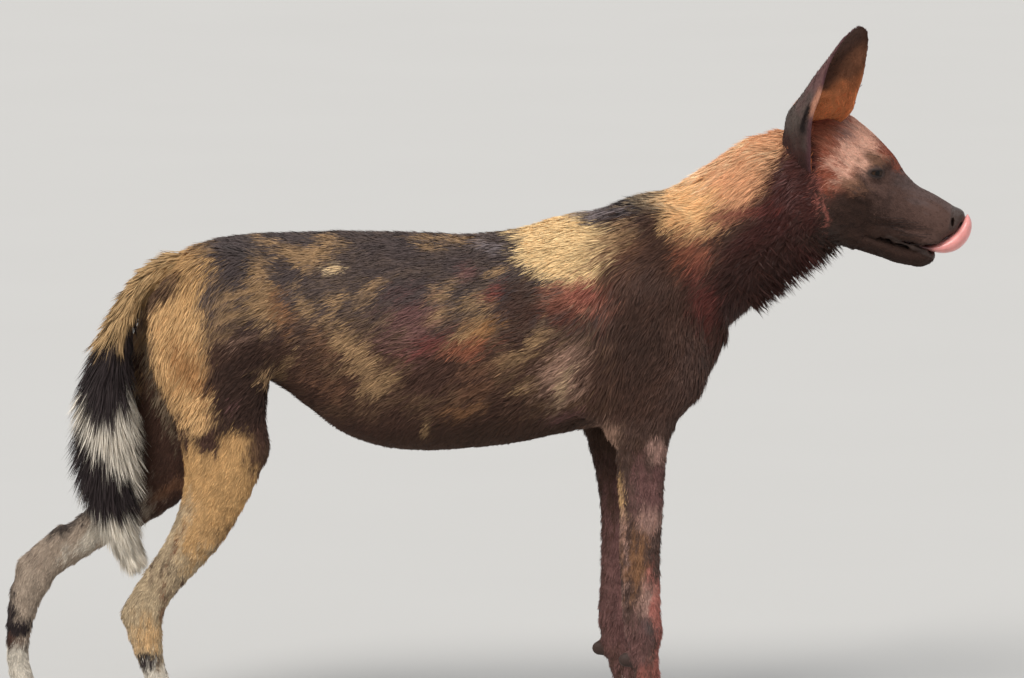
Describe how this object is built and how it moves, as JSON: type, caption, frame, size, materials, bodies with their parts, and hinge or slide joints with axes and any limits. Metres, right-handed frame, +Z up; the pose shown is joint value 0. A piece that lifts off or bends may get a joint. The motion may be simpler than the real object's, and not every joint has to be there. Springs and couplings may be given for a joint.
{
  "type": "african wild dog model",
  "caption": "Still, life-size african wild dog standing on all four feet, head level, large round ears up, tongue curled up to its nose, tail hanging.",
  "frame": {"origin": "on the floor under the middle of the model's box, nose to rearmost heel and ear to flank", "axes": "+X towards the nose, +Y to the animal's left, +Z up; the soles stand at Z = 0"},
  "size_m": [1.277, 0.2697, 0.9386],
  "materials": {
    "coat_dark": "short blackish brown coat",
    "coat_tan": "short ochre tan coat",
    "coat_muzzle": "very short blackish coat",
    "coat_leg": "short tan coat",
    "coat_foreleg": "short dark brown coat with pinkish patches",
    "coat_white": "whitish coat",
    "ear_skin": "thin skin with short dark hair",
    "tongue": "wet pink flesh",
    "eye": "wet dark brown eyeball",
    "claw": "dark horn"
  },
  "bodies": {
    "root": {"torso": "coat_dark", "neck": "coat_tan", "head": "coat_muzzle", "jaw": "coat_muzzle", "tongue": "tongue", "ear_left": "ear_skin", "ear_right": "ear_skin", "eye_left": "eye", "eye_right": "eye", "tail_root": "coat_tan", "tail_brush": "coat_dark", "tail_tip": "coat_white", "upper_arm_left": "coat_dark", "forearm_left": "coat_foreleg", "forepaw_left": "coat_foreleg", "thigh_left": "coat_dark", "shank_left": "coat_leg", "hindfoot_left": "coat_white", "upper_arm_right": "coat_dark", "forearm_right": "coat_foreleg", "forepaw_right": "coat_foreleg", "thigh_right": "coat_dark", "shank_right": "coat_leg", "hindfoot_right": "coat_white", "claw_foreleg_left_1": "claw", "claw_foreleg_left_2": "claw", "claw_foreleg_left_3": "claw", "claw_foreleg_left_4": "claw", "claw_foreleg_right_1": "claw", "claw_foreleg_right_2": "claw", "claw_foreleg_right_3": "claw", "claw_foreleg_right_4": "claw", "claw_hindleg_left_1": "claw", "claw_hindleg_left_2": "claw", "claw_hindleg_left_3": "claw", "claw_hindleg_left_4": "claw", "claw_hindleg_right_1": "claw", "claw_hindleg_right_2": "claw", "claw_hindleg_right_3": "claw", "claw_hindleg_right_4": "claw"}
  },
  "joints": []
}
